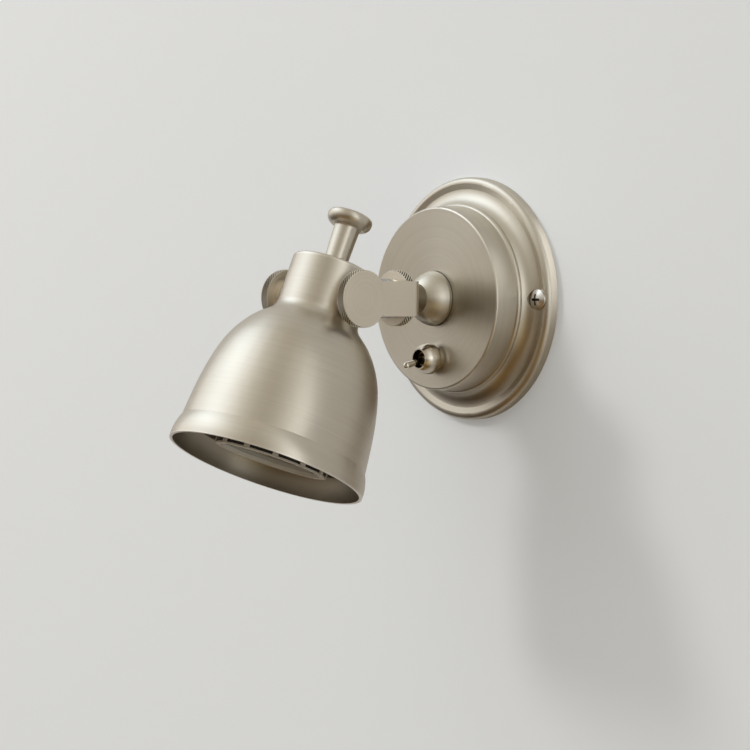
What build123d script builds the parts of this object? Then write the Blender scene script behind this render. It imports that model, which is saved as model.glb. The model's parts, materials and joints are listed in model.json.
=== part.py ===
from build123d import *
import os
from math import atan2, cos, radians, sin, sqrt

# Bedside wall reading lamp, in millimetres.
# Origin: centre of the back of the wall plate, on the wall. The wall is the plane Y = 0,
# the lamp stands out of it towards -Y, +Z is up and +X is to the right when facing the wall.

# ---- wall plate (canopy) ----
SCREW_SPACING = 88.9       # between the two screws that hold the plate on the wall strap
RIM_WIDTH = 5.55           # screw centre to the plate's outer edge
CANOPY_DEPTH = 21.5        # wall to front face
CANOPY_WALL = 1.2          # sheet thickness
RIM_SIDE = 3.2             # straight side of the outer rim
RIM_CREST = 5.5            # highest point of the outer rim
RIM_CREST_IN = 2.6         # outer edge to that crest
GROOVE_IN = 5.0            # outer edge to the shallow groove inside the rim
GROOVE_HEIGHT = 5.05
DRUM_FOOT_IN = 11.1        # outer edge to the drum's foot, where the cove ends
DRUM_FOOT_HEIGHT = 9.2
DRUM_BEAD = 2.1            # height of the bead round the drum's foot
DRUM_BEAD_IN = 0.8         # step from the foot in to the drum above the bead
DRUM_TAPER = 0.7           # the drum is this much smaller at its front
FACE_EDGE = 0.8            # rounding of the front edge

# ---- those two screws ----
SCREW_R = 2.0
SCREW_HEAD_R = 4.1
SCREW_HEAD = 2.4
SCREW_SEAT = 5.2           # height of the stamped seat under the head
SEAT_R = 4.5
CLEARANCE_HOLE = 0.3       # radial clearance of a screw in a plain hole
THREAD_CLEARANCE = 0.03    # radial clearance of a screw in its tapped hole

# ---- wall strap ----
STRAP_WIDTH = 14.0
STRAP_END = 3.15           # screw centre to the end of the strap
STRAP_THICK = 1.8
BOX_SPACING = 60.3         # hole spacing of a round wall box
BOX_HOLE_R = 2.25
CABLE_HOLE_R = 5.5
LUG_WIDTH = 26.0           # lug that carries the terminal block
LUG_TOP = 27.5
EARTH_X = -17.0
EARTH_HEAD_R = 3.6
EARTH_HEAD = 2.2
EARTH_SHANK = 1.6

# ---- terminal block ----
POLES = 3
POLE_PITCH = 8.0
BLOCK_HEIGHT = 14.0
BLOCK_DEPTH = 12.0
BLOCK_GAP = 11.5           # stem axis to the block's lower side
SLEEVE_OUT_R = 2.6
SLEEVE_IN_R = 1.6
TERMINAL_SCREW_R = 1.4
TERMINAL_ROWS = 7.0        # distance between the two rows of screws

# ---- hollow threaded stem and what is stacked on it ----
STEM_R = 5.0
STEM_BORE = 3.5
STEM_BACK = 13.0           # wall to the stem's inner end
STEM_CLEARANCE = 0.05      # radial, between the stem and what turns or slides on it
LOCK_WASHER_R = 8.5
LOCK_WASHER = 0.8
LOCK_NUT_FLATS = 14.0
LOCK_NUT = 3.0
BOSS_R = 11.2
BOSS_FOOT_R = 10.9
BOSS_FOOT = 0.8
BOSS_GROOVE = 0.4
BOSS_GROOVE_DEPTH = 0.6
BOSS_SIDE = 0.6            # straight side between the groove and the dome
BOSS_DOME = 7.7
COLLAR_R = 6.0
COLLAR_LENGTH = 8.8
KNOB_SLACK = 0.5           # room behind the rear knob, to loosen it
WASHER = 0.5
WASHER_R = 8.0
STOP_WASHER = 0.8
STOP_TAB_REACH = 13.5
STOP_TAB_WIDTH = 3.0
FRONT_NUT_FLATS = 13.0
FRONT_NUT = 2.5
STEM_PROUD = 0.5
BUSH_FLANGE = 0.8
BUSH_FLANGE_R = 4.6
BUSH_LENGTH = 4.0
BUSH_BORE = 2.4

# ---- knurled knobs, one behind the yoke and one on each side of it ----
KNOB_R = 11.4
KNOB_THICK = 3.9
KNOB_EDGE = 0.35
REAR_HUB_R = 7.2
REAR_HUB = 2.5
SHANK_R = 2.5
SHANK_LENGTH = 9.0
PIVOT_CLEARANCE = 0.05     # radial, shank in the yoke and in the pivot bosses

# ---- yoke ----
YOKE_WIDTH = 13.9
YOKE_THICK = 2.0
BOSS_PROUD = 2.7           # neck to the outer end of a pivot boss
YOKE_REACH = 33.1          # back of the base to the pivot axis
YOKE_BEND = 4.0            # outside radius of the bends
STOP_PIP_R = 1.2
STOP_PIP_X = 12.0

# ---- shade and neck, measured along their axis from the pivot ----
HEAD_TILT = 23.2           # axis from straight down, towards the room
NECK_R = 16.7
NECK_TOP = 13.5            # pivot to the closed top
NECK_EDGE = 1.0
NECK_END = 6.5
SHADE_WALL = 1.2
SHOULDER = [(9.6, 17.7), (13.6, 21.9), (19.0, 26.7), (26.0, 30.8), (35.2, 33.9), (47.0, 36.1)]
LIP_START = 62.6
LIP_START_R = 37.7
LIP_MIDDLE = 66.0
LIP_MIDDLE_R = 38.97
MOUTH = 72.1
MOUTH_R = 39.48
BOSS_HOLE_R = 4.0
PIVOT_BOSS_R = 5.2
PIVOT_BOSS_DEPTH = 13.6    # shade axis to the boss's inner end
SEAT_CLEARANCE = 0.05      # radial, of a boss or grommet in its hole

# ---- handle on the neck ----
HANDLE_FOOT_R = 4.7
HANDLE_TOP_R = 5.2
HANDLE_LENGTH = 22.5
CAP_R = 9.1
CAP_THICK = 5.4
CAP_ROUND = 1.5            # rounding of the cap's top edge; the rest of its side curves under
CAP_DOME = 0.3
CAP_FILLET = 0.8           # fillet between the grip and the cap
SPINDLE_R = 2.0
HANDLE_NUT_FLATS = 7.0
HANDLE_NUT = 3.2
HANDLE_NUT_GAP = 0.5       # lower nut to the leaning bracket

# ---- grommet where the leads enter the neck ----
GROMMET_BACK = 7.5         # along the axis from the pivot, towards the handle
GROMMET_R = 4.4
GROMMET_NECK_R = 3.2
GROMMET_BORE = 2.1
GROMMET_LIP = 0.9

# ---- lamp holder, its bracket and the lamp ----
LAMP_LEAN = 5.25           # the lamp sits this many degrees off the shade's axis
LAMP_LEAN_TOWARDS = -143.0  # direction of that lean, in degrees round the axis from +X
LAMP_SHIFT = (-0.2, -1.1)  # where its seat is, off the shade's axis
LAMP_SEAT = 13.2           # pivot to the lamp's seat on the holder
SEAT_GAP = 0.3
HOLDER_WIDTH = 18.0
HOLDER_END_IN = 0.2        # bracket's end to the holder's end
HOLDER_HEIGHT = 15.0
HOLDER_FRONT = 3.0         # thickness in front of the pin chamber
CHAMBER_R = 7.8
CHAMBER = 5.3
PIN_CIRCLE = 5.0
PIN_R = 1.6
PIN_HEAD_R = 2.4
PIN_HEAD = 2.3
PIN_LENGTH = 6.8
PIN_CLEARANCE = 0.35
TWIST = 20.0               # turn that frees the lamp, in degrees
HOLDER_SCREW_IN = 3.0      # screw centre to the holder's end
HOLDER_SCREW_R = 1.4
HOLDER_SCREW_HEAD_R = 2.3
HOLDER_SCREW_HEAD = 1.6
BRACKET_THICK = 1.0
BRACKET_WIDTH = 16.0
BRACKET_ROOM = 2.0         # inside of the neck to each end of the bracket
CONTACT_THICK = 0.5
LAMP_R = 25.0
LAMP_LENGTH = 54.7
LAMP_CAP_R = 11.5
LAMP_CAP = 6.0
LAMP_WAIST_R = 14.5
LAMP_WAIST = 18.0
LAMP_SHOULDER = 10.7       # front of the lamp back to its shoulder
LAMP_RIM = 7.5
CUP_WALL = 1.4             # outside of the clips to the cup for the board and the glass
CUP_DEPTH = 12.0
BOARD_THICK = 1.6
CHIPS = 6
CHIP_CIRCLE = 11.0
CHIP_SIZE = 3.5
CHIP_THICK = 0.8
DRIVER_WIDTH = 15.0
DRIVER_LENGTH = 26.0
DRIVER_ROOM = 7.5
LENS_THICK = 2.0
LENS_DROP = 1.6            # front of the lamp to the front of its glass
LAMP_FACE_R = 23.1         # over the clips of the front ring
RING_IN_R = 20.3
RING_THICK = 0.6
COLLAR_BAND = 4.5          # front of the lamp to the back of its dark collar
COLLAR_STEP = 0.6          # the collar lies this far inside the clips
CLIPS = 12
CLIP_WIDTH = 2.4
CLIP_START = 34.0          # bearing of the first clip, in degrees

# ---- toggle switch ----
SWITCH_DROP = 24.6         # stem axis to the switch's axis
SWITCH_BUSH_R = 3.0
SWITCH_BUSH_BORE = 2.3
BUSH_OUT = 6.5             # bush's reach in front of the plate's face
SWITCH_BODY_WIDTH = 8.0
SWITCH_BODY_LENGTH = 13.0
SWITCH_BODY_HEIGHT = 9.5
SWITCH_NUT_FLATS = 8.0
SWITCH_NUT = 2.0
SWITCH_LUG_PITCH = 4.7
SWITCH_LUG = 4.2
BARREL_R = 6.35            # barrel-shaped collar nut
BARREL_WIDEST = 2.6        # its widest place, in front of the face
BARREL_END = 8.4           # its mouth, in front of the face
BARREL_END_R = 4.3
BARREL_FOOT_R = 5.2
BARREL_FOOT = 0.8
BARREL_MOUTH_R = 3.8
LEVER_PIVOT = 4.7          # lever's pivot in front of the face
LEVER_LENGTH = 11.8
LEVER_NECK_R = 1.15
LEVER_TIP_R = 1.45
LEVER_BALL_R = 1.8
LEVER_TAIL = 4.2
LEVER_TAIL_R = 0.7
LEVER_ANGLE = 14.5         # lever's tilt from the switch axis, at either end of its throw

SEAM = 50.0                # bearing of a turned piece's seam, clear of every hole in it

# ---- radii of the plate, worked out from the sizes above ----
CANOPY_R = SCREW_SPACING / 2 + RIM_WIDTH
RIM_CREST_R = CANOPY_R - RIM_CREST_IN
GROOVE_R = CANOPY_R - GROOVE_IN
DRUM_FOOT_R = CANOPY_R - DRUM_FOOT_IN
DRUM_R = DRUM_FOOT_R - DRUM_BEAD_IN
FACE_R = DRUM_R - DRUM_TAPER

# ---- places worked out from the sizes above, as distances from the wall ----
PLATE_INSIDE = CANOPY_DEPTH - CANOPY_WALL
BOSS_TOP = CANOPY_DEPTH + BOSS_FOOT + BOSS_GROOVE + BOSS_SIDE + BOSS_DOME
KNOB_BACK = BOSS_TOP + COLLAR_LENGTH + KNOB_SLACK
HUB_FRONT = KNOB_BACK + KNOB_THICK + REAR_HUB
YOKE_BACK = HUB_FRONT + WASHER
YOKE_FRONT = YOKE_BACK + YOKE_THICK
STOP_FRONT = YOKE_FRONT + STOP_WASHER
NUT_FRONT = STOP_FRONT + FRONT_NUT
STEM_FRONT = NUT_FRONT + STEM_PROUD
PIVOT_OUT = YOKE_BACK + YOKE_REACH
ARM_INSIDE = NECK_R + BOSS_PROUD + WASHER
ARM_OUTSIDE = ARM_INSIDE + YOKE_THICK
YOKE_SPAN = 2 * ARM_OUTSIDE
BRACKET_LENGTH = 2 * (NECK_R - SHADE_WALL - BRACKET_ROOM)
HOLDER_LENGTH = BRACKET_LENGTH - 2 * HOLDER_END_IN
HOLDER_SCREW_X = HOLDER_LENGTH / 2 - HOLDER_SCREW_IN

# ---- frames: +Z of each runs along the axis that its pieces are turned about ----
PIVOT = (0, -PIVOT_OUT, 0)
WALL_FRAME = Plane((0, 0, 0), x_dir=(1, 0, 0), z_dir=(0, -1, 0))
SWITCH_FRAME = Plane((0, -CANOPY_DEPTH, -SWITCH_DROP), x_dir=(1, 0, 0), z_dir=(0, -1, 0))
HEAD_AXIS = (0, -sin(radians(HEAD_TILT)), -cos(radians(HEAD_TILT)))
HEAD_FRAME = Plane(PIVOT, x_dir=(1, 0, 0), z_dir=HEAD_AXIS)
SIDE_FRAMES = {
    "right": Plane(PIVOT, x_dir=(0, 0, 1), z_dir=(1, 0, 0)),
    "left": Plane(PIVOT, x_dir=(0, 0, 1), z_dir=(-1, 0, 0))}
LEAN_X = sin(radians(LAMP_LEAN)) * cos(radians(LAMP_LEAN_TOWARDS))
LEAN_Y = sin(radians(LAMP_LEAN)) * sin(radians(LAMP_LEAN_TOWARDS))
LAMP_AXIS = (LEAN_X, LEAN_Y, cos(radians(LAMP_LEAN)))
LAMP_IN_HEAD = Plane((*LAMP_SHIFT, LAMP_SEAT), x_dir=(1, 0, -LEAN_X), z_dir=LAMP_AXIS)


# ---- drawing helpers ----
def flat(point):
    """A (radius, height) point in the plane that is turned about Z."""
    return (point[0], 0, point[1])


def turned(start, *steps):
    """Solid turned about Z. A step is the next (radius, height) point, (via, end) for an arc,
    or a list of points for a smooth curve."""
    edges, here = [], start
    for step in steps:
        if isinstance(step, list):
            edges.append(Spline(*[flat(p) for p in [here, *step]]))
            here = step[-1]
        elif isinstance(step[0], tuple):
            edges.append(ThreePointArc(flat(here), flat(step[0]), flat(step[1])))
            here = step[1]
        else:
            edges.append(Line(flat(here), flat(step)))
            here = step
    edges.append(Line(flat(here), flat(start)))
    return Rot(0, 0, SEAM) * revolve(make_face(Wire(edges)), Axis.Z)


def dome(radius, base, top):
    """Arc step from (radius, base) up to the axis, part of a ball centred on the axis."""
    rise = top - base
    ball = (radius ** 2 + rise ** 2) / (2 * rise)
    half = atan2(radius, ball - rise) / 2
    return ((ball * sin(half), top - ball * (1 - cos(half))), (0, top))


def rod(radius, start, end, x=0, y=0):
    """Cylinder along Z between two heights."""
    return Pos(x, y, start) * Cylinder(radius, end - start, align=(Align.CENTER, Align.CENTER, Align.MIN))


def tube(outside, inside, start, end, x=0, y=0):
    return rod(outside, start, end, x, y) - rod(inside, start, end, x, y)


def block(width, length, start, end, x=0, y=0):
    """Box along Z between two heights."""
    return Pos(x, y, start) * Box(width, length, end - start, align=(Align.CENTER, Align.CENTER, Align.MIN))


def nut(flats, bore, start, end, x=0, y=0):
    """Plain hexagon nut along Z."""
    prism = extrude(RegularPolygon(flats / 2, 6, major_radius=False), end - start)
    return Pos(x, y, start) * prism - rod(bore, start, end, x, y)


def pan_screw(shank_r, shank_end, head_r, head_height, seat, x=0, y=0):
    """Pan-head screw with a cross recess; its head sits on the height 'seat', facing +Z."""
    side = head_height * 0.35
    head = turned((0, 0), (head_r, 0), (head_r, side), dome(head_r, side, head_height))
    depth = head_height * 0.6
    for turn in (0, 90):
        head -= Rot(0, 0, turn) * block(head_r * 1.1, head_r * 0.24, head_height - depth, head_height + 1)
    return Pos(x, y, seat) * head + rod(shank_r, shank_end, seat, x, y)


def knob_blank(start):
    """Disc of a knurled knob, with its two edges broken."""
    edge, top = KNOB_EDGE, start + KNOB_THICK
    return turned((0, start), (KNOB_R - edge, start), (KNOB_R, start + edge),
                  (KNOB_R, top - edge), (KNOB_R - edge, top), (0, top))


def both(make):
    """The same piece on the right and on the left."""
    return Compound(children=[frame * make() for frame in SIDE_FRAMES.values()])


# ---- wall plate ----
def canopy_form(inset):
    """The plate's outer form, or, with an inset, the hollow behind its sheet."""
    def at(radius, height):
        return (radius - inset, height - inset)
    bead_top = DRUM_FOOT_HEIGHT + DRUM_BEAD
    return turned(
        (0, 0), (CANOPY_R - inset, 0), at(CANOPY_R, RIM_SIDE),
        (at(CANOPY_R - 0.75, RIM_SIDE + 1.65), at(RIM_CREST_R, RIM_CREST)),
        at(GROOVE_R, GROOVE_HEIGHT),
        (at((GROOVE_R + DRUM_FOOT_R) / 2 - 0.7, GROOVE_HEIGHT + 1.2),
         at(DRUM_FOOT_R, DRUM_FOOT_HEIGHT)),
        (at(DRUM_FOOT_R + 0.1, DRUM_FOOT_HEIGHT + DRUM_BEAD / 2), at(DRUM_R, bead_top)),
        at(FACE_R, CANOPY_DEPTH - FACE_EDGE),
        (at(FACE_R - FACE_EDGE * 0.3, CANOPY_DEPTH - FACE_EDGE * 0.3),
         at(FACE_R - FACE_EDGE, CANOPY_DEPTH)),
        (0, CANOPY_DEPTH - inset))


def canopy():
    form = canopy_form(0)
    shell = form - canopy_form(CANOPY_WALL)
    for x in (-SCREW_SPACING / 2, SCREW_SPACING / 2):
        shell += form & rod(SEAT_R + CANOPY_WALL * 0.7, SCREW_SEAT - CANOPY_WALL, CANOPY_DEPTH / 2, x)
        shell -= rod(SEAT_R, SCREW_SEAT, CANOPY_DEPTH, x)
        shell -= rod(SCREW_R + CLEARANCE_HOLE, 0, CANOPY_DEPTH, x)
    shell -= rod(STEM_R + CLEARANCE_HOLE, 0, CANOPY_DEPTH + 1)
    shell -= rod(SWITCH_BUSH_R + CLEARANCE_HOLE, 0, CANOPY_DEPTH + 1, 0, -SWITCH_DROP)
    return WALL_FRAME * shell


def canopy_screws():
    return WALL_FRAME * Compound(children=[
        pan_screw(SCREW_R, STRAP_THICK / 4, SCREW_HEAD_R, SCREW_HEAD, SCREW_SEAT, x)
        for x in (-SCREW_SPACING / 2, SCREW_SPACING / 2)])


def wall_strap():
    outline = SlotOverall(SCREW_SPACING + 2 * STRAP_END, STRAP_WIDTH)
    lug = Pos(0, LUG_TOP / 2) * RectangleRounded(LUG_WIDTH, LUG_TOP, 2)
    strap = extrude(outline + lug, STRAP_THICK)
    for half, radius in ((SCREW_SPACING / 2, SCREW_R + THREAD_CLEARANCE), (BOX_SPACING / 2, BOX_HOLE_R)):
        strap -= rod(radius, 0, STRAP_THICK, half) + rod(radius, 0, STRAP_THICK, -half)
    strap -= rod(CABLE_HOLE_R, 0, STRAP_THICK)
    strap -= rod(EARTH_SHANK + THREAD_CLEARANCE, 0, STRAP_THICK, EARTH_X)
    return WALL_FRAME * strap


def earth_screw():
    end, seat = STRAP_THICK / 4, STRAP_THICK
    return WALL_FRAME * pan_screw(EARTH_SHANK, end, EARTH_HEAD_R, EARTH_HEAD, seat, EARTH_X)


# ---- terminal block ----
def pole_places():
    return [(i - (POLES - 1) / 2) * POLE_PITCH for i in range(POLES)]


def block_middle():
    return BLOCK_GAP + BLOCK_HEIGHT / 2


def sleeve_height():
    return STRAP_THICK + BLOCK_DEPTH / 2


def across(radius, x, length):
    """Cylinder along the wall's vertical, through the terminal block."""
    middle = Pos(x, block_middle(), sleeve_height())
    return middle * Rot(90, 0, 0) * Cylinder(radius, length)


def terminal_block():
    top = STRAP_THICK + BLOCK_DEPTH
    body = block(POLES * POLE_PITCH, BLOCK_HEIGHT, STRAP_THICK, top, 0, block_middle())
    for x in pole_places():
        body -= across(SLEEVE_OUT_R + SEAT_CLEARANCE, x, BLOCK_HEIGHT)
        for y in (-TERMINAL_ROWS / 2, TERMINAL_ROWS / 2):
            body -= rod(TERMINAL_SCREW_R + CLEARANCE_HOLE, sleeve_height(), top, x, block_middle() + y)
    return WALL_FRAME * body


def terminal_sleeves():
    top = STRAP_THICK + BLOCK_DEPTH
    hole_r = TERMINAL_SCREW_R + THREAD_CLEARANCE
    sleeves = []
    for x in pole_places():
        sleeve = across(SLEEVE_OUT_R, x, BLOCK_HEIGHT - 2) - across(SLEEVE_IN_R, x, BLOCK_HEIGHT)
        for y in (-TERMINAL_ROWS / 2, TERMINAL_ROWS / 2):
            sleeve -= rod(hole_r, sleeve_height(), top, x, block_middle() + y)
        sleeves.append(sleeve)
    return WALL_FRAME * Compound(children=sleeves)


def terminal_screws():
    top = STRAP_THICK + BLOCK_DEPTH - 0.8
    slot = block(TERMINAL_SCREW_R * 3, 0.5, top - 0.7, top)
    screws = []
    for x in pole_places():
        for y in (-TERMINAL_ROWS / 2, TERMINAL_ROWS / 2):
            place = Pos(x, block_middle() + y, 0)
            screws.append(place * (rod(TERMINAL_SCREW_R, sleeve_height() + 0.4, top) - slot))
    return WALL_FRAME * Compound(children=screws)


# ---- stem and its stack ----
def threaded_stem():
    return WALL_FRAME * tube(STEM_R, STEM_BORE, STEM_BACK, STEM_FRONT)


def stem_lock_washer():
    front = PLATE_INSIDE
    return WALL_FRAME * tube(LOCK_WASHER_R, STEM_R + STEM_CLEARANCE, front - LOCK_WASHER, front)


def stem_lock_nut():
    front = PLATE_INSIDE - LOCK_WASHER
    return WALL_FRAME * nut(LOCK_NUT_FLATS, STEM_R + THREAD_CLEARANCE, front - LOCK_NUT, front)


def stem_boss():
    foot = CANOPY_DEPTH + BOSS_FOOT
    groove = foot + BOSS_GROOVE
    rim = groove + BOSS_SIDE
    groove_r = BOSS_FOOT_R - BOSS_GROOVE_DEPTH
    crown = ((BOSS_R + COLLAR_R) / 2 + 0.75, rim + BOSS_DOME * 0.55)
    boss = turned((0, CANOPY_DEPTH), (BOSS_FOOT_R, CANOPY_DEPTH), (BOSS_FOOT_R, foot),
                  (groove_r, foot), (groove_r, groove), (BOSS_R, groove), (BOSS_R, rim),
                  (crown, (COLLAR_R, BOSS_TOP)), (0, BOSS_TOP))
    return WALL_FRAME * (boss - rod(STEM_R + STEM_CLEARANCE, CANOPY_DEPTH, BOSS_TOP))


def stem_collar():
    return WALL_FRAME * tube(COLLAR_R, STEM_R + STEM_CLEARANCE, BOSS_TOP, BOSS_TOP + COLLAR_LENGTH)


def rear_knob():
    knob = knob_blank(KNOB_BACK) + rod(REAR_HUB_R, KNOB_BACK + KNOB_THICK, HUB_FRONT)
    return WALL_FRAME * (knob - rod(STEM_R + STEM_CLEARANCE, KNOB_BACK, HUB_FRONT))


def swivel_washer():
    return WALL_FRAME * tube(WASHER_R, STEM_R + STEM_CLEARANCE, HUB_FRONT, YOKE_BACK)


def stop_washer():
    """Washer keyed to the stem; its tab meets the yoke's pip at either end of the swivel."""
    tab = block(STOP_TAB_REACH, STOP_TAB_WIDTH, YOKE_FRONT, STOP_FRONT, -STOP_TAB_REACH / 2)
    disc = rod(WASHER_R, YOKE_FRONT, STOP_FRONT) + tab
    return WALL_FRAME * (disc - rod(STEM_R + STEM_CLEARANCE, YOKE_FRONT, STOP_FRONT))


def stem_front_nut():
    return WALL_FRAME * nut(FRONT_NUT_FLATS, STEM_R + THREAD_CLEARANCE, STOP_FRONT, NUT_FRONT)


def stem_bush():
    bush = rod(STEM_BORE - SEAT_CLEARANCE, STEM_FRONT - BUSH_LENGTH, STEM_FRONT)
    bush += rod(BUSH_FLANGE_R, STEM_FRONT, STEM_FRONT + BUSH_FLANGE)
    return WALL_FRAME * (bush - rod(BUSH_BORE, STEM_FRONT - BUSH_LENGTH, STEM_FRONT + BUSH_FLANGE))


# ---- yoke, side knobs and pivot ----
def yoke():
    """Flat strip bent to a U, its arm ends rounded about the pivot axis."""
    tip = PIVOT_OUT + YOKE_WIDTH / 2
    inside_bend = max(YOKE_BEND - YOKE_THICK, 0.2)
    outside = Pos(0, YOKE_BACK) * Rectangle(YOKE_SPAN, tip - YOKE_BACK, align=(Align.CENTER, Align.MIN))
    outside = fillet(outside.vertices().group_by(Axis.Y)[0], YOKE_BEND)
    inside = Pos(0, YOKE_FRONT) * Rectangle(2 * ARM_INSIDE, tip - YOKE_BACK, align=(Align.CENTER, Align.MIN))
    inside = fillet(inside.vertices().group_by(Axis.Y)[0], inside_bend)
    plan = Plane((0, 0, 0), x_dir=(1, 0, 0), z_dir=(0, 0, -1))
    strip = plan * extrude(outside - inside, YOKE_WIDTH / 2, both=True)
    side = block(YOKE_SPAN + 1, YOKE_WIDTH, YOKE_BACK, PIVOT_OUT)
    side += Pos(0, 0, PIVOT_OUT) * Rot(0, 90, 0) * Cylinder(YOKE_WIDTH / 2, YOKE_SPAN + 1)
    side -= Pos(0, 0, PIVOT_OUT) * Rot(0, 90, 0) * Cylinder(SHANK_R + PIVOT_CLEARANCE, YOKE_SPAN + 1)
    side -= rod(STEM_R + STEM_CLEARANCE, YOKE_BACK, YOKE_FRONT)
    pip = rod(STOP_PIP_R, YOKE_FRONT, STOP_FRONT, STOP_PIP_X)
    return (strip & (WALL_FRAME * side)) + WALL_FRAME * pip


def pivot_washers():
    def washer():
        return tube(PIVOT_BOSS_R, SHANK_R + PIVOT_CLEARANCE, ARM_INSIDE - WASHER, ARM_INSIDE)
    return both(washer)


def side_knob(side):
    knob = knob_blank(ARM_OUTSIDE) + rod(SHANK_R, ARM_OUTSIDE - SHANK_LENGTH, ARM_OUTSIDE)
    return SIDE_FRAMES[side] * knob


def pivot_bosses():
    """Tapped bosses in the neck: a collar that follows the neck outside and a spigot through its wall."""
    neck = HEAD_FRAME * tube(NECK_R, NECK_R - SHADE_WALL, -NECK_TOP, NECK_END)

    def boss(frame):
        outside = frame * rod(PIVOT_BOSS_R, NECK_R - SHADE_WALL, ARM_INSIDE - WASHER)
        spigot = frame * rod(BOSS_HOLE_R - SEAT_CLEARANCE, PIVOT_BOSS_DEPTH, NECK_R)
        core = HEAD_FRAME * rod(NECK_R, -NECK_TOP, NECK_END)
        bore = frame * rod(SHANK_R + PIVOT_CLEARANCE, PIVOT_BOSS_DEPTH, ARM_INSIDE)
        return (outside - neck - core) + spigot - bore
    return Compound(children=[boss(frame) for frame in SIDE_FRAMES.values()])


# ---- shade ----
def inset_curve(points, wall):
    """The (height, radius) stations moved inwards by the sheet's thickness, square to the curve."""
    moved = []
    for i, (height, radius) in enumerate(points):
        before, after = points[max(i - 1, 0)], points[min(i + 1, len(points) - 1)]
        run, rise = after[0] - before[0], after[1] - before[1]
        length = sqrt(run * run + rise * rise)
        moved.append((height + wall * rise / length, radius - wall * run / length))
    return moved


def shade_form(inset):
    """Neck and bell as one spun form, or, with an inset, the hollow inside it."""
    neck_r, top, edge = NECK_R - inset, -NECK_TOP + inset, max(NECK_EDGE - inset, 0.2)
    stations = [*SHOULDER, (LIP_START, LIP_START_R)]
    if inset:
        stations = inset_curve([(NECK_END, NECK_R), *stations], inset)[1:]
        stations[-1] = (LIP_START, LIP_START_R - inset)
    bell = [(radius, height) for height, radius in stations]
    round_r = edge * (1 - sqrt(0.5))
    shoulder = ((neck_r - round_r, top + round_r), (neck_r, top + edge))
    lip = ((LIP_MIDDLE_R - inset, LIP_MIDDLE), (MOUTH_R - inset, MOUTH))
    return turned((0, top), (neck_r - edge, top), shoulder, (neck_r, NECK_END), bell, lip, (0, MOUTH))


def shade():
    shell = HEAD_FRAME * (shade_form(0) - shade_form(SHADE_WALL))
    shell -= HEAD_FRAME * rod(SPINDLE_R + CLEARANCE_HOLE, -NECK_TOP - 1, 0)
    for frame in SIDE_FRAMES.values():
        shell -= frame * rod(BOSS_HOLE_R, NECK_R / 2, NECK_R + 1)
    return shell - grommet_frame() * rod(GROMMET_NECK_R, NECK_R / 2, NECK_R + 1)


def grommet_frame():
    """Out of the back of the neck, level with the leads' exit from the stem."""
    return HEAD_FRAME * Plane((0, 0, -GROMMET_BACK), x_dir=(1, 0, 0), z_dir=(0, -1, 0))


def lead_grommet():
    """Two lips that follow the neck's wall, joined through the hole."""
    wall = HEAD_FRAME * tube(NECK_R, NECK_R - SHADE_WALL, -NECK_TOP, NECK_END)
    lips = rod(GROMMET_R, NECK_R - SHADE_WALL - GROMMET_LIP, NECK_R + GROMMET_LIP * 0.6)
    neck = rod(GROMMET_NECK_R - SEAT_CLEARANCE, NECK_R - SHADE_WALL - GROMMET_LIP, NECK_R + GROMMET_LIP * 0.6)
    bore = rod(GROMMET_BORE, NECK_R / 2, NECK_R + 2)
    frame = grommet_frame()
    return (frame * lips) - wall + (frame * neck) - (frame * bore)


# ---- handle ----
def handle():
    """Turned grip with a round-edged cap, and the threaded spindle behind it."""
    cap_back = HANDLE_LENGTH - CAP_THICK
    under = CAP_THICK - CAP_ROUND
    under_r = CAP_R - under * 0.7
    under_middle = (CAP_R - under * 0.205, cap_back + under * 0.293)
    top_r = CAP_R - CAP_ROUND
    top_middle = (CAP_R - CAP_ROUND * 0.293, HANDLE_LENGTH - CAP_ROUND * 0.293)
    grip = turned(
        (0, 0), (HANDLE_FOOT_R, 0), (HANDLE_TOP_R, cap_back - CAP_FILLET),
        ((HANDLE_TOP_R + CAP_FILLET * 0.3, cap_back - CAP_FILLET * 0.3),
         (HANDLE_TOP_R + CAP_FILLET, cap_back)),
        (under_r, cap_back), (under_middle, (CAP_R, cap_back + under)),
        (top_middle, (top_r, HANDLE_LENGTH)),
        dome(top_r, HANDLE_LENGTH, HANDLE_LENGTH + CAP_DOME))
    spindle = rod(SPINDLE_R, -NECK_TOP, bracket_back() + BRACKET_THICK * 0.7)
    return HEAD_FRAME * (Pos(0, 0, -NECK_TOP) * Rot(180, 0, 0) * grip + spindle)


def handle_nuts():
    """One nut holds the handle on the neck, the other holds the bracket on the spindle."""
    upper = -NECK_TOP + SHADE_WALL
    lower = bracket_back() - HANDLE_NUT_GAP - HANDLE_NUT
    bore = SPINDLE_R + THREAD_CLEARANCE
    nuts = [nut(HANDLE_NUT_FLATS, bore, start, start + HANDLE_NUT) for start in (upper, lower)]
    return HEAD_FRAME * Compound(children=nuts)


def bracket_back():
    return LAMP_SEAT - SEAT_GAP - HOLDER_HEIGHT - BRACKET_THICK


# ---- lamp holder, in the lamp's own leaning frame: seat at height 0, lamp towards +Z ----
def lamp_place(shape):
    return HEAD_FRAME * (LAMP_IN_HEAD * shape)


def screw_places():
    return (-HOLDER_SCREW_X, HOLDER_SCREW_X)


def pin_places(turn=0):
    places = []
    for angle in (0, 180):
        bearing = radians(angle + turn)
        places.append((PIN_CIRCLE * cos(bearing), PIN_CIRCLE * sin(bearing)))
    return places


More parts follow.
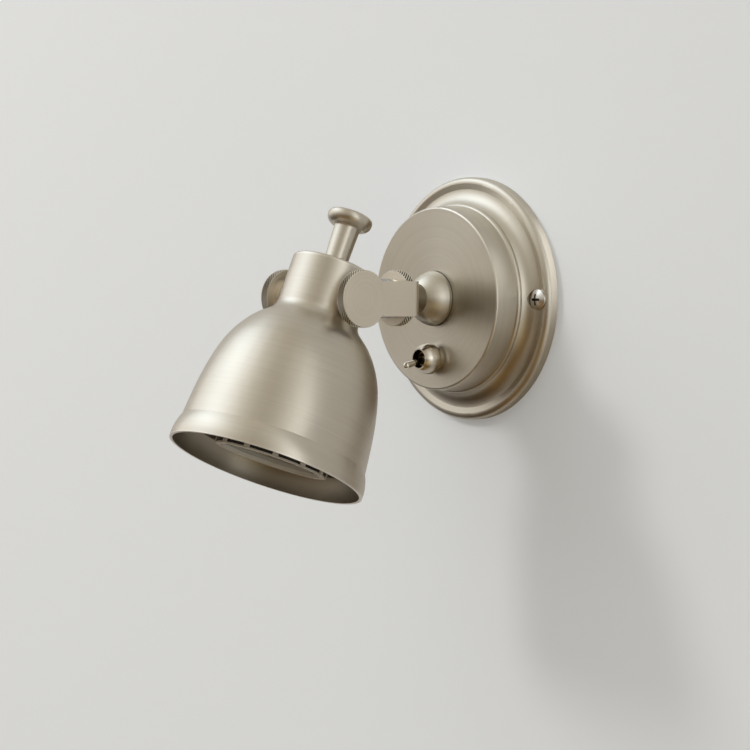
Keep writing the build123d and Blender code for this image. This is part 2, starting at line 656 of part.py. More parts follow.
def lamp_holder():
    front, back = -SEAT_GAP, -SEAT_GAP - HOLDER_HEIGHT
    chamber_top = front - HOLDER_FRONT
    outline = Rot(0, 0, 90) * SlotOverall(HOLDER_LENGTH, HOLDER_WIDTH)
    body = Pos(0, 0, back) * extrude(outline, HOLDER_HEIGHT)
    body -= rod(CHAMBER_R, chamber_top - CHAMBER, chamber_top)
    for angle, (x, y) in zip((0, 180), pin_places(TWIST)):
        slot = SlotArc(CenterArc((0, 0), PIN_CIRCLE, angle, TWIST), 2 * (PIN_R + PIN_CLEARANCE))
        body -= Pos(0, 0, chamber_top) * extrude(slot, HOLDER_FRONT)
        body -= rod(PIN_HEAD_R + PIN_CLEARANCE, chamber_top, front, x, y)
    seat = front - HOLDER_SCREW_HEAD - CLEARANCE_HOLE
    for y in screw_places():
        body -= rod(HOLDER_SCREW_R + CLEARANCE_HOLE, back, front, 0, y)
        body -= rod(HOLDER_SCREW_HEAD_R + CLEARANCE_HOLE, seat, front, 0, y)
    return lamp_place(body)


def holder_screws():
    seat = -SEAT_GAP - HOLDER_SCREW_HEAD - CLEARANCE_HOLE
    end = -SEAT_GAP - HOLDER_HEIGHT - BRACKET_THICK
    screws = [pan_screw(HOLDER_SCREW_R, end, HOLDER_SCREW_HEAD_R, HOLDER_SCREW_HEAD, seat, 0, y)
              for y in screw_places()]
    return lamp_place(Compound(children=screws))


def holder_bracket():
    top = -SEAT_GAP - HOLDER_HEIGHT
    outline = Rot(0, 0, 90) * SlotOverall(BRACKET_LENGTH, BRACKET_WIDTH)
    plate = Pos(0, 0, top - BRACKET_THICK) * extrude(outline, BRACKET_THICK)
    for y in screw_places():
        plate -= rod(HOLDER_SCREW_R + THREAD_CLEARANCE, top - BRACKET_THICK, top, 0, y)
    spindle_hole = HEAD_FRAME * rod(SPINDLE_R + CLEARANCE_HOLE, -NECK_TOP, LAMP_SEAT)
    return lamp_place(plate) - spindle_hole


def holder_contacts():
    roof = -SEAT_GAP - HOLDER_FRONT - CHAMBER
    leaves = []
    for x, y in pin_places():
        leaves.append(block(2 * PIN_HEAD_R, 2 * PIN_HEAD_R, roof, roof + CONTACT_THICK, x, y))
    return lamp_place(Compound(children=leaves))


# ---- lamp ----
def lamp_body():
    shoulder, rim = LAMP_LENGTH - LAMP_SHOULDER, LAMP_LENGTH - LAMP_RIM
    floor, front = LAMP_LENGTH - CUP_DEPTH, LAMP_LENGTH - COLLAR_BAND
    flank = ((LAMP_WAIST_R + LAMP_R) / 2 + 1.4, (LAMP_WAIST + shoulder) / 2)
    form = turned((0, 0), (LAMP_CAP_R, 0), (LAMP_CAP_R, LAMP_CAP), (LAMP_WAIST_R, LAMP_CAP + 3),
                  (LAMP_WAIST_R, LAMP_WAIST), (flank, (LAMP_R - 0.6, shoulder)), (LAMP_R, rim),
                  (LAMP_R, front), (0, front))
    cup = rod(LAMP_FACE_R - CUP_WALL, floor, LAMP_LENGTH)
    driver_room = block(DRIVER_WIDTH + 1, DRIVER_ROOM, LAMP_CAP, floor)
    pins = [rod(PIN_R, 0, LAMP_CAP / 2, x, y) for x, y in pin_places()]
    return lamp_place(form - cup - driver_room - pins[0] - pins[1])


def lamp_pins():
    pins = []
    for x, y in pin_places():
        shank = rod(PIN_R, -PIN_LENGTH + PIN_HEAD, LAMP_CAP / 2, x, y)
        head = rod(PIN_HEAD_R, -PIN_LENGTH, -PIN_LENGTH + PIN_HEAD, x, y)
        pins.append(shank + head)
    return lamp_place(Compound(children=pins))


def driver_board():
    end = LAMP_CAP + DRIVER_LENGTH
    board = block(DRIVER_WIDTH, BOARD_THICK, LAMP_CAP, end)
    capacitor = Pos(0, BOARD_THICK / 2 + 0.8, (LAMP_CAP + end) / 2) * Cylinder(1.6, DRIVER_LENGTH * 0.4)
    return lamp_place(board + capacitor)


def led_board():
    floor = LAMP_LENGTH - CUP_DEPTH
    return lamp_place(rod(LAMP_FACE_R - CUP_WALL - SEAT_CLEARANCE, floor, floor + BOARD_THICK))


def led_chips():
    base = LAMP_LENGTH - CUP_DEPTH + BOARD_THICK
    chips = []
    for i in range(CHIPS):
        chip = block(CHIP_SIZE, CHIP_SIZE, base, base + CHIP_THICK, CHIP_CIRCLE)
        chips.append(Rot(0, 0, 360 * i / CHIPS) * chip)
    return lamp_place(Compound(children=chips))


def lamp_lens():
    """Cover glass, with a skirt down to the board."""
    front = LAMP_LENGTH - LENS_DROP
    radius = LAMP_FACE_R - CUP_WALL - SEAT_CLEARANCE
    skirt = tube(radius, radius - 1, LAMP_LENGTH - CUP_DEPTH + BOARD_THICK, front - LENS_THICK)
    return lamp_place(rod(radius, front - LENS_THICK, front) + skirt)


def lamp_collar():
    """Dark band, smaller than the lamp's rim, between the rim and the front ring."""
    back, front = LAMP_LENGTH - COLLAR_BAND, LAMP_LENGTH - RING_THICK
    return lamp_place(tube(LAMP_FACE_R - COLLAR_STEP, LAMP_FACE_R - CUP_WALL, back, front))


def lamp_ring():
    """Front ring that holds the glass, with small clips down over the dark collar."""
    back, front = LAMP_LENGTH - RING_THICK, LAMP_LENGTH
    collar_r = LAMP_FACE_R - COLLAR_STEP
    ring = tube(collar_r, RING_IN_R, back, front)
    lip_r = LAMP_FACE_R - CUP_WALL - SEAT_CLEARANCE
    ring += tube(lip_r, RING_IN_R, LAMP_LENGTH - LENS_DROP, back)
    clip = block(CLIP_WIDTH, CLIP_WIDTH, LAMP_LENGTH - COLLAR_BAND, front, LAMP_FACE_R)
    clip &= rod(LAMP_FACE_R, LAMP_LENGTH - COLLAR_BAND, front) - rod(collar_r + SEAT_CLEARANCE, 0, back)
    for i in range(CLIPS):
        ring += Rot(0, 0, CLIP_START + 360 * i / CLIPS) * clip
    return lamp_place(ring)


# ---- toggle switch, in its own frame: plate's face at height 0 ----
def switch_body():
    top = -CANOPY_WALL - SWITCH_NUT - 0.8
    return SWITCH_FRAME * (block(SWITCH_BODY_WIDTH, SWITCH_BODY_LENGTH, top - SWITCH_BODY_HEIGHT, top)
                           - rod(SWITCH_BUSH_BORE, top - 1.2, top))


def switch_terminals():
    top = -CANOPY_WALL - SWITCH_NUT - 0.8 - SWITCH_BODY_HEIGHT
    lugs = [block(2.0, 0.8, top - SWITCH_LUG, top, 0, i * SWITCH_LUG_PITCH) for i in (-1, 0, 1)]
    return SWITCH_FRAME * Compound(children=lugs)


def switch_bush():
    back = -CANOPY_WALL - SWITCH_NUT - 0.8
    bush = rod(SWITCH_BUSH_R, back, BUSH_OUT) + rod(SWITCH_BODY_WIDTH / 2, back, back + 0.8)
    return SWITCH_FRAME * (bush - rod(SWITCH_BUSH_BORE, back, BUSH_OUT))


def switch_nut():
    back = -CANOPY_WALL - SWITCH_NUT
    return SWITCH_FRAME * nut(SWITCH_NUT_FLATS, SWITCH_BUSH_R + THREAD_CLEARANCE, back, -CANOPY_WALL)


def switch_collar():
    """Barrel-shaped nut round the lever, on a thin foot, with its mouth cut flat."""
    swell = ((BARREL_FOOT_R + BARREL_R * 2) / 3, BARREL_FOOT + (BARREL_WIDEST - BARREL_FOOT) * 0.4)
    taper = (BARREL_R - (BARREL_R - BARREL_END_R) * 0.27, (BARREL_WIDEST + BARREL_END) / 2 + 0.4)
    collar = turned((0, 0), (BARREL_FOOT_R, 0), (BARREL_FOOT_R, BARREL_FOOT),
                    (swell, (BARREL_R, BARREL_WIDEST)), (taper, (BARREL_END_R, BARREL_END)),
                    (0, BARREL_END))
    collar -= rod(SWITCH_BUSH_R + THREAD_CLEARANCE, 0, BARREL_END)
    collar -= rod(BARREL_MOUTH_R, BUSH_OUT - 2, BARREL_END)
    return SWITCH_FRAME * collar


def toggle_lever():
    """Bat-shaped lever on a ball, resting tilted down."""
    thick = LEVER_LENGTH - LEVER_TIP_R
    bat = turned((0, -LEVER_TAIL), (LEVER_TAIL_R, -LEVER_TAIL), (LEVER_TAIL_R, 0), (LEVER_NECK_R, 0),
                 (LEVER_NECK_R, LEVER_LENGTH / 2), (LEVER_TIP_R, thick),
                 dome(LEVER_TIP_R, thick, LEVER_LENGTH))
    lever = bat + Sphere(LEVER_BALL_R)
    return SWITCH_FRAME * (Pos(0, 0, LEVER_PIVOT) * Rot(LEVER_ANGLE, 0, 0) * lever)


PIECES = [
    wall_strap, canopy, canopy_screws, earth_screw, terminal_block, terminal_sleeves, terminal_screws,
    threaded_stem, stem_lock_washer, stem_lock_nut, stem_boss, stem_collar, rear_knob, swivel_washer,
    stop_washer, stem_front_nut, stem_bush, yoke, pivot_washers, pivot_bosses, shade, lead_grommet,
    handle, handle_nuts, lamp_holder, holder_screws, holder_bracket, holder_contacts, lamp_body,
    lamp_pins, driver_board, led_board, led_chips, lamp_lens, lamp_collar, lamp_ring, switch_body,
    switch_terminals, switch_bush, switch_nut, switch_collar, toggle_lever]

os.makedirs("parts", exist_ok=True)
for piece in PIECES:
    export_step(piece(), f"parts/{piece.__name__}.step")
for side in SIDE_FRAMES:
    export_step(side_knob(side), f"parts/side_knob_{side}.step")
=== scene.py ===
import json
from math import cos, pi, radians, sin

import bpy
from mathutils import Matrix, Vector

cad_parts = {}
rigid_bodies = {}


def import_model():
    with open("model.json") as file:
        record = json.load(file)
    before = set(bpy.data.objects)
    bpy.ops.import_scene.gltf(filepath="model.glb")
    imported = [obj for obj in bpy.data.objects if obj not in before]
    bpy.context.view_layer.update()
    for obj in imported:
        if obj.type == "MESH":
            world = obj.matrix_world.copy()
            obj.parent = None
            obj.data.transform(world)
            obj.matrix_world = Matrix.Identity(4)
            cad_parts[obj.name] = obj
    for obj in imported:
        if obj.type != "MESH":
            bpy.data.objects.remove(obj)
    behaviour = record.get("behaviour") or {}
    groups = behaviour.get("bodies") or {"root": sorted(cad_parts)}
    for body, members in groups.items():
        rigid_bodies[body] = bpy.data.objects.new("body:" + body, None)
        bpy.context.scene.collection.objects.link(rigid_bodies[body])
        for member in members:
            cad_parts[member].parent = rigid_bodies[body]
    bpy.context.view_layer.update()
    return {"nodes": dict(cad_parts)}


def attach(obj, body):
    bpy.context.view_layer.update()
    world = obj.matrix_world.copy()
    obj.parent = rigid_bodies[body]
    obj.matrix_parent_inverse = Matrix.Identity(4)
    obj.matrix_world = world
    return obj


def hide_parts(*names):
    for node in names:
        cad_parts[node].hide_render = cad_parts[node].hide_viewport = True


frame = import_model()
nodes = frame["nodes"]

# ---- sizes shared with the solids, in metres ----
MM = 0.001
PIVOT = Vector((0, -80.3 * MM, 0))
TILT = radians(23.2)
HEAD_AXIS = Vector((0, -sin(TILT), -cos(TILT)))
WALL_AXIS = Vector((0, -1, 0))
SIDE_AXIS = Vector((1, 0, 0))
CENTRE = Vector((0, 0, 0))
SWITCH = Vector((0, -21.5 * MM, -24.6 * MM))
STEM_PITCH = 1.0 * MM
SWITCH_PITCH = 0.5 * MM
SCREW_X = 44.45 * MM
RECESS_R = 2.6 * MM              # circle round a plate screw's cross recess
RECESS_DEEP = 6.5 * MM           # off the wall, where the painted shade in the recess is darkest
RECESS_SHALLOW = 7.1 * MM        # off the wall, where that painted shade ends

# ---- clamp knobs, in metres ----
KNOB_R = 11.4 * MM
KNOB_THICK = 3.9 * MM
KNOB_EDGE = 0.35 * MM            # plain rim at either side of the knurl
KNOB_ROUND = 0.3 * MM            # bevel of shank and hub
FLAT_R = KNOB_R - KNOB_EDGE - 0.1 * MM
FACE_RINGS = (1, 0.97, 0.5)      # rings of a side knob's face, as shares of FLAT_R
FACE_MIDDLE_R = 0.2 * MM
SIDE_KNOB_START = 21.9 * MM
SIDE_KNOB_GAP = 0.02 * MM        # keeps the knob's back off the yoke's arm
SHANK_R = 2.5 * MM
SHANK_END = 12.9 * MM
REAR_KNOB_START = 40.3 * MM
REAR_BORE_R = 5.05 * MM
HUB_R = 7.2 * MM
HUB_LENGTH = 2.5 * MM
KNURL_DEPTH = 0.55 * MM          # before the teeth's tips are cut off
KNURL_TEETH = 54
KNURL_STEPS = 4                  # mesh steps in one tooth, both ways
KNURL_CUT = 0.9                  # share of their height at which the tips are cut off
CREST_HIGHLIGHT_R = KNOB_R - 0.35 * KNURL_DEPTH       # painted highlight on the crests from here out
GROOVE_SHADE_FULL_R = KNOB_R - 0.7 * KNURL_DEPTH       # painted shade in the grooves at full strength from here in
GROOVE_SHADE_END_R = KNOB_R - 0.3 * KNURL_DEPTH        # painted groove shade gone from here out
KNOB_STEPS = KNURL_TEETH * KNURL_STEPS
KNOB_SHARP = radians(24)

# ---- painted highlight rings and painted shade rings on the turned pieces: (radius, height) along their axis, in metres ----
HEAD_HIGHLIGHT_RINGS = [(r * MM, h * MM) for r, h in ((16.5, -12.5), (39.5, 72.1))]
PLATE_HIGHLIGHT_RINGS = [(r * MM, h * MM) for r, h in ((37.2, 21.4), (50.0, 3.6), (10.9, 22.1))]
# painted shade round the boss: in its groove and where it meets the plate
PLATE_SHADE_RINGS = [(r * MM, h * MM) for r, h in ((10.6, 22.5), (11.0, 21.5))]
MARK_CORE = 0.15 * MM            # a painted highlight ring or painted shade ring keeps its full strength this far out
HIGHLIGHT_REACH, HIGHLIGHT_STRENGTH = 0.65 * MM, 0.45
SHADE_RING_REACH, SHADE_RING_STRENGTH = 0.5 * MM, 0.65
LEAST_REACH = 0.1 * MM           # keeps the middle of a piece from dividing by 0
TURNED_IN = -0.1                 # a face looking inwards by more than this gets the painted inner shade

# ---- grain of the metals: waves per metre, and depth of the marks in metres ----
FINE_ROUND, FINE_ACROSS = 40.0, 3000.0
COARSE_ROUND, COARSE_ACROSS = 14.0, 800.0
FINE_SHARE = 0.55                # of the spun lines, the rest being the coarse ones
LINES_SHARE = 0.7                # of the spun tone, the rest being clouds
STRIP_ALONG, STRIP_ACROSS = 70.0, 5000.0
SPUN_CLOUDS, STRIP_CLOUDS, GRAIN_CLOUDS, THREAD_CLOUDS = 38.0, 45.0, 60.0, 120.0
SCREW_GRAIN = 500.0
BRUSH_DEPTH = 0.06 * MM
GRAIN_DEPTH = 0.05 * MM
GLOSS_STRETCH = 0.45

# ---- colours, linear ----
NICKEL = (0.63, 0.585, 0.505)
PLATE_NICKEL = (0.64, 0.60, 0.52)
# a paler copy of the same nickel, painted light: the yoke, pivot bosses and knobs show brighter
LIT_NICKEL = (0.79, 0.73, 0.625)
# painted highlight colour, for bright rims and knurl crests
HIGHLIGHT_NICKEL = (0.88, 0.85, 0.78)
# painted shade for faces turned to the shade's axis, its interior
INNER_SHADE_NICKEL = (0.34, 0.305, 0.25)
# a darker copy of the nickel: painted shade for the collar in the gap behind the yoke's bend
SHADED_STEM_NICKEL = (0.30, 0.26, 0.20)
THREAD_NICKEL = (0.60, 0.57, 0.51)
# painted shade colour, for the dark rings round the boss and the knurl grooves
PAINTED_SHADE_NICKEL = (0.035, 0.028, 0.018)
# painted shade inside the switch's mouth
SWITCH_MOUTH_SHADE = (0.035, 0.028, 0.018)
# painted shade and a warm painted reflection for the bush deep in the switch's mouth
BUSH_IN_MOUTH_SHADE = (0.20, 0.14, 0.06)
BRIGHT_PLATE = (0.80, 0.79, 0.76)
LEVER_PLATE = (0.76, 0.73, 0.66)
# painted shade colour inside the screws' cross recesses
RECESS_SHADE = (0.05, 0.045, 0.04)
ZINC = (0.55, 0.56, 0.58)
BRASS = (0.74, 0.55, 0.25)
BLOCK_WHITE = (0.80, 0.78, 0.72)
STEATITE = (0.80, 0.78, 0.73)
LAMP_GREY = (0.56, 0.56, 0.55)
BEZEL_WHITE = (0.80, 0.79, 0.74)
DARK_PLASTIC = (0.022, 0.020, 0.018)
RUBBER = (0.018, 0.018, 0.018)
BOARD = (0.70, 0.72, 0.70)
PHOSPHOR = (0.80, 0.62, 0.14)
LENS_GREY = (0.20, 0.21, 0.20)
WALL_PAINT = (0.76, 0.77, 0.78)
BACKGROUND = (0.65, 0.64, 0.61)
WALL_LIFT = (0.138, 0.157, 0.172)      # added to the wall for the camera alone

# ---- camera, fitted to the photograph ----
PHOTO_WIDTH = 750                # pixels
PHOTO_FOCAL = 2794.56            # pixels
SENSOR = 36                      # millimetres
CAMERA_PLACE = Vector((0.85616, -0.77873, 0.0076))
CAMERA_YAW, CAMERA_PITCH, CAMERA_ROLL = 49.72, -1.96, 0.46      # degrees


def look(yaw, pitch, roll, place, lens):
    """Camera turned left from +Y by yaw, up by pitch and clockwise by roll, in degrees."""
    yaw, pitch, roll = radians(yaw), radians(pitch), radians(roll)
    ahead = Vector((-sin(yaw) * cos(pitch), cos(yaw) * cos(pitch), sin(pitch)))
    right = Vector((cos(yaw), sin(yaw), 0))
    up = right.cross(ahead)
    right, up = cos(roll) * right + sin(roll) * up, cos(roll) * up - sin(roll) * right
    data = bpy.data.cameras.new("photo_camera")
    data.sensor_width, data.lens = SENSOR, lens
    data.clip_start, data.clip_end = 0.01, 50
    camera = bpy.data.objects.new("photo_camera", data)
    turn = Matrix((right, up, -ahead)).transposed().to_4x4()
    camera.matrix_world = Matrix.Translation(place) @ turn
    bpy.context.scene.collection.objects.link(camera)
    bpy.context.scene.camera = camera


look(CAMERA_YAW, CAMERA_PITCH, CAMERA_ROLL, CAMERA_PLACE, SENSOR * PHOTO_FOCAL / PHOTO_WIDTH)


# ---- shader helpers ----
def add(tree, kind, values=(), **settings):
    """A node with its settings, and its inputs set or linked."""
    made = tree.nodes.new(kind)
    for key, value in settings.items():
        setattr(made, key, value)
    for key, value in dict(values).items():
        if isinstance(value, bpy.types.NodeSocket):
            tree.links.new(value, made.inputs[key])
        else:
            made.inputs[key].default_value = value
    return made


def calc(tree, operation, first, second=0.0, third=0.0):
    made = add(tree, "ShaderNodeMath", {0: first, 1: second, 2: third}, operation=operation)
    return made.outputs[0]


def dot(tree, vector, direction):
    values = {0: vector, 1: tuple(direction)}
    return add(tree, "ShaderNodeVectorMath", values, operation="DOT_PRODUCT").outputs["Value"]


def joined(tree, x, y, z):
    return add(tree, "ShaderNodeCombineXYZ", {0: x, 1: y, 2: z}).outputs[0]


def length(tree, *parts):
    made = add(tree, "ShaderNodeVectorMath", {0: joined(tree, *parts)}, operation="LENGTH")
    return made.outputs["Value"]


def noise(tree, vector, scale=1.0, detail=3.0, roughness=0.55):
    values = {"Vector": vector, "Scale": scale, "Detail": detail, "Roughness": roughness}
    return add(tree, "ShaderNodeTexNoise", values).outputs["Fac"]


def span(tree, value, low, high):
    """A value from 0 to 1 spread from low to high."""
    made = add(tree, "ShaderNodeMapRange", {"Value": value, "To Min": low, "To Max": high})
    return made.outputs["Result"]


def ramp(tree, value, start, end, low=0.0, high=1.0):
    """From low to high as the value goes from start to end, and no further."""
    values = {"Value": value, "From Min": start, "From Max": end, "To Min": low, "To Max": high}
    return add(tree, "ShaderNodeMapRange", values).outputs["Result"]


def blend(tree, factor, first, second):
    """First colour to second as the factor goes from 0 to 1."""
    made = add(tree, "ShaderNodeMix", {"Factor": factor}, data_type="RGBA")
    for slot, colour in ((6, first), (7, second)):
        if isinstance(colour, bpy.types.NodeSocket):
            tree.links.new(colour, made.inputs[slot])
        else:
            made.inputs[slot].default_value = (*colour, 1)
    return made.outputs[2]


def tint(tree, value, colour, spread):
    """The colour, darker and lighter by 'spread' as the value goes from 0 to 1."""
    darker = [c * (1 - spread) for c in colour]
    lighter = [min(c * (1 + spread), 1) for c in colour]
    return blend(tree, value, darker, lighter)


def bumped(tree, height, strength, distance):
    made = add(tree, "ShaderNodeBump", {"Height": height, "Strength": strength, "Distance": distance})
    return made.outputs["Normal"]


def blank(name):
    """New material with one Principled shader: its tree, the shader and object coordinates."""
    made = bpy.data.materials.new(name)
    made.use_nodes = True
    tree = made.node_tree
    shader = tree.nodes["Principled BSDF"]
    place = add(tree, "ShaderNodeTexCoord").outputs["Object"]
    return made, tree, shader, place


def set_shader(tree, shader, **values):
    """Principled inputs by name, set or linked."""
    for key, value in values.items():
        name = key.replace("_", " ").title().replace("Ior", "IOR")
        if isinstance(value, bpy.types.NodeSocket):
            tree.links.new(value, shader.inputs[name])
        else:
            shader.inputs[name].default_value = value


def across_axis(axis):
    """Two directions square to an axis."""
    first = axis.orthogonal().normalized()
    return first, axis.cross(first).normalized()


def from_axis(tree, place, centre, axis):
    """Vector from the centre, and its parts in the two directions square to the axis and along it."""
    apart = add(tree, "ShaderNodeVectorMath", {0: place, 1: tuple(centre)}, operation="SUBTRACT").outputs[0]
    return apart, *(dot(tree, apart, way) for way in (*across_axis(axis), axis))


# ---- materials ----
def drawn_round(tree, x, y, ring, round_waves, across_waves, **settings):
    """Noise drawn out in circles round an axis."""
    stretched = joined(tree, calc(tree, "MULTIPLY", x, round_waves), calc(tree, "MULTIPLY", y, round_waves),
                       calc(tree, "MULTIPLY", ring, across_waves))
    return noise(tree, stretched, **settings)


def near_circle(tree, reach, along, circle, width, strength):
    """The strength on a (radius, height) circle, down to 0 at 'width' from it."""
    radius, height = circle
    off = length(tree, calc(tree, "SUBTRACT", reach, radius), calc(tree, "SUBTRACT", along, height), 0.0)
    return ramp(tree, off, MARK_CORE, width, strength, 0.0)


def turned_in(tree, x, y, reach, axis):
    """1 on faces turned towards the axis, 0 on the others."""
    first, second = across_axis(axis)
    facing = add(tree, "ShaderNodeTexCoord").outputs["Normal"]
    outward = calc(tree, "MULTIPLY_ADD", dot(tree, facing, first), x,
                   calc(tree, "MULTIPLY", dot(tree, facing, second), y))
    share = calc(tree, "DIVIDE", outward, calc(tree, "MAXIMUM", reach, LEAST_REACH))
    return calc(tree, "LESS_THAN", share, TURNED_IN)


def knurl_highlights_and_shade(tree, base, reach, along, start, end):
    """Painted highlights on the crests and painted shade in the grooves of a rim between two heights, either
    way along the axis.
    """
    height = calc(tree, "ABSOLUTE", along)
    past_start = calc(tree, "GREATER_THAN", height, start)
    on_rim = calc(tree, "MULTIPLY", past_start, calc(tree, "LESS_THAN", height, end))
    # painted highlight on the crests
    crest = ramp(tree, reach, CREST_HIGHLIGHT_R, KNOB_R)
    # painted shade in the grooves
    low = ramp(tree, reach, GROOVE_SHADE_FULL_R, GROOVE_SHADE_END_R, 1.0, 0.0)
    base = blend(tree, calc(tree, "MULTIPLY", crest, on_rim), base, HIGHLIGHT_NICKEL)
    return blend(tree, calc(tree, "MULTIPLY", low, on_rim), base, PAINTED_SHADE_NICKEL)


def spun(name, colour, centre, axis, rough, bump=0.16, highlight_rings=(), shade_rings=(), inner_shade=None, knurl=None):
    """Metal brushed in circles round an axis: fine and coarser rings, soft cloudiness, stretched gloss.
    Of the ring lists, given as (radius, height), the first gets painted highlights and the second painted
    shade; the next colour is painted shade on faces turned to the axis, and 'knurl' the (start, end)
    heights of a knurled rim whose crests get painted highlights and grooves painted shade."""
    made, tree, shader, place = blank(name)
    apart, x, y, along = from_axis(tree, place, centre, axis)
    reach = length(tree, x, y, 0.0)
    ring = calc(tree, "ADD", reach, along)
    fine = drawn_round(tree, x, y, ring, FINE_ROUND, FINE_ACROSS, detail=4.0, roughness=0.7)
    coarse = drawn_round(tree, x, y, ring, COARSE_ROUND, COARSE_ACROSS)
    cloud = noise(tree, apart, scale=SPUN_CLOUDS, detail=2.0)
    lines = calc(tree, "MULTIPLY_ADD", fine, FINE_SHARE, calc(tree, "MULTIPLY", coarse, 1 - FINE_SHARE))
    shade = calc(tree, "MULTIPLY_ADD", lines, LINES_SHARE, calc(tree, "MULTIPLY", cloud, 1 - LINES_SHARE))
    base = tint(tree, shade, colour, spread=0.24)
    # painted highlights on bright rims and painted shade in the joints, as rings round the axis
    marks = [(circle, HIGHLIGHT_REACH, HIGHLIGHT_STRENGTH, HIGHLIGHT_NICKEL) for circle in highlight_rings]
    marks += [(circle, SHADE_RING_REACH, SHADE_RING_STRENGTH, PAINTED_SHADE_NICKEL) for circle in shade_rings]
    for circle, width, strength, tone in marks:
        base = blend(tree, near_circle(tree, reach, along, circle, width, strength), base, tone)
    # painted shade on faces turned to the axis, as in the shade's interior and the switch's mouth
    if inner_shade:
        base = blend(tree, turned_in(tree, x, y, reach, axis), base, inner_shade)
    # painted highlights on the knurl's crests and painted shade in its grooves
    if knurl:
        base = knurl_highlights_and_shade(tree, base, reach, along, *knurl)
    values = {0: tuple(axis), 1: apart}
    around = add(tree, "ShaderNodeVectorMath", values, operation="CROSS_PRODUCT").outputs[0]
    world = add(tree, "ShaderNodeVectorTransform", {"Vector": around}, vector_type="VECTOR",
                convert_from="OBJECT", convert_to="WORLD").outputs[0]
    gloss = span(tree, lines, rough - 0.10, rough + 0.10)
    set_shader(tree, shader, base_color=base, metallic=1.0, roughness=gloss, anisotropic=GLOSS_STRETCH,
               anisotropic_rotation=0.25, tangent=world, normal=bumped(tree, lines, bump, BRUSH_DEPTH))
    return made


def cross_headed(name, colour, rough):
    """Bright plated screws of the wall plate, with painted shade in their cross recesses."""
    made, tree, shader, place = blank(name)
    x, out, z = (dot(tree, place, way) for way in ((1, 0, 0), (0, -1, 0), (0, 0, 1)))
    from_screw = length(tree, calc(tree, "SUBTRACT", calc(tree, "ABSOLUTE", x), SCREW_X), z, 0.0)
    # painted shade inside each screw's cross recess, darkest deepest
    recess_shade_mask = calc(tree, "MULTIPLY", calc(tree, "LESS_THAN", from_screw, RECESS_R),
                ramp(tree, out, RECESS_DEEP, RECESS_SHALLOW, 1.0, 0.0))
    grain = noise(tree, place, scale=SCREW_GRAIN)
    base = blend(tree, recess_shade_mask, tint(tree, grain, colour, spread=0.06), RECESS_SHADE)
    set_shader(tree, shader, base_color=base, metallic=1.0, roughness=rough,
               normal=bumped(tree, grain, 0.03, GRAIN_DEPTH))
    return made


def strip_brushed(name, colour, rough):
    """Metal brushed along its length, for the bent strip."""
    made, tree, shader, place = blank(name)
    x, y, z = (dot(tree, place, way) for way in ((1, 0, 0), (0, 1, 0), (0, 0, 1)))
    run = calc(tree, "ADD", x, y)
    stretched = joined(tree, calc(tree, "MULTIPLY", run, STRIP_ALONG), 0.0,
                       calc(tree, "MULTIPLY", z, STRIP_ACROSS))
    fine = noise(tree, stretched, detail=4.0)
    cloud = noise(tree, place, scale=STRIP_CLOUDS, detail=2.0)
    shade = calc(tree, "MULTIPLY_ADD", fine, 0.5, calc(tree, "MULTIPLY", cloud, 0.5))
    set_shader(tree, shader, base_color=tint(tree, shade, colour, spread=0.08), metallic=1.0,
               roughness=span(tree, fine, rough - 0.06, rough + 0.06),
               normal=bumped(tree, fine, 0.10, BRUSH_DEPTH))
    return made


def grained(name, colour, rough, metallic=0.0, scale=900.0, bump=0.08, spread=0.06, **extra):
    """Moulded, cast or plated surface: fine grain, soft cloudiness and a little uneven gloss."""
    made, tree, shader, place = blank(name)
    grain = noise(tree, place, scale=scale)
    cloud = noise(tree, place, scale=GRAIN_CLOUDS, detail=2.0)
    shade = calc(tree, "MULTIPLY_ADD", grain, 0.4, calc(tree, "MULTIPLY", cloud, 0.6))
    set_shader(tree, shader, base_color=tint(tree, shade, colour, spread), metallic=metallic,
               roughness=span(tree, cloud, rough - 0.05, rough + 0.05),
               normal=bumped(tree, grain, bump, GRAIN_DEPTH), **extra)
    return made


def threaded(name, colour, centre, axis, rough, pitch):
    """Metal with a fine thread round an axis."""
    made, tree, shader, place = blank(name)
    _, x, y, along = from_axis(tree, place, centre, axis)
    turn = calc(tree, "DIVIDE", calc(tree, "ARCTAN2", y, x), 2 * pi)
    crest = calc(tree, "PINGPONG", calc(tree, "ADD", calc(tree, "DIVIDE", along, pitch), turn), 0.5)
    cloud = noise(tree, place, scale=THREAD_CLOUDS)
    set_shader(tree, shader, base_color=tint(tree, cloud, colour, spread=0.08), metallic=1.0,
               roughness=rough, normal=bumped(tree, crest, 0.9, pitch * 0.6))
    return made


def dress(thing, made):
    thing.data.materials.clear()
    thing.data.materials.append(made)


def wear(made, *names):
    for name in names:
        dress(nodes[name], made)


# the shade's interior gets painted shade; painted highlights on its neck's top rim and its mouth rim
wear(spun("head_nickel", NICKEL, PIVOT, HEAD_AXIS, rough=0.36, highlight_rings=HEAD_HIGHLIGHT_RINGS, inner_shade=INNER_SHADE_NICKEL),
     "shade", "handle")
wear(spun("plate_nickel", PLATE_NICKEL, CENTRE, WALL_AXIS, rough=0.37, highlight_rings=PLATE_HIGHLIGHT_RINGS,
          shade_rings=PLATE_SHADE_RINGS), "canopy", "stem_boss", "swivel_washer")
# painted shade: the collar sits in the dark gap between the yoke's bend and the boss
wear(spun("shaded_nickel", SHADED_STEM_NICKEL, CENTRE, WALL_AXIS, rough=0.40), "stem_collar")
# painted light: these parts use the paler copy of the nickel
wear(spun("side_nickel", LIT_NICKEL, PIVOT, SIDE_AXIS, rough=0.36), "pivot_bosses")
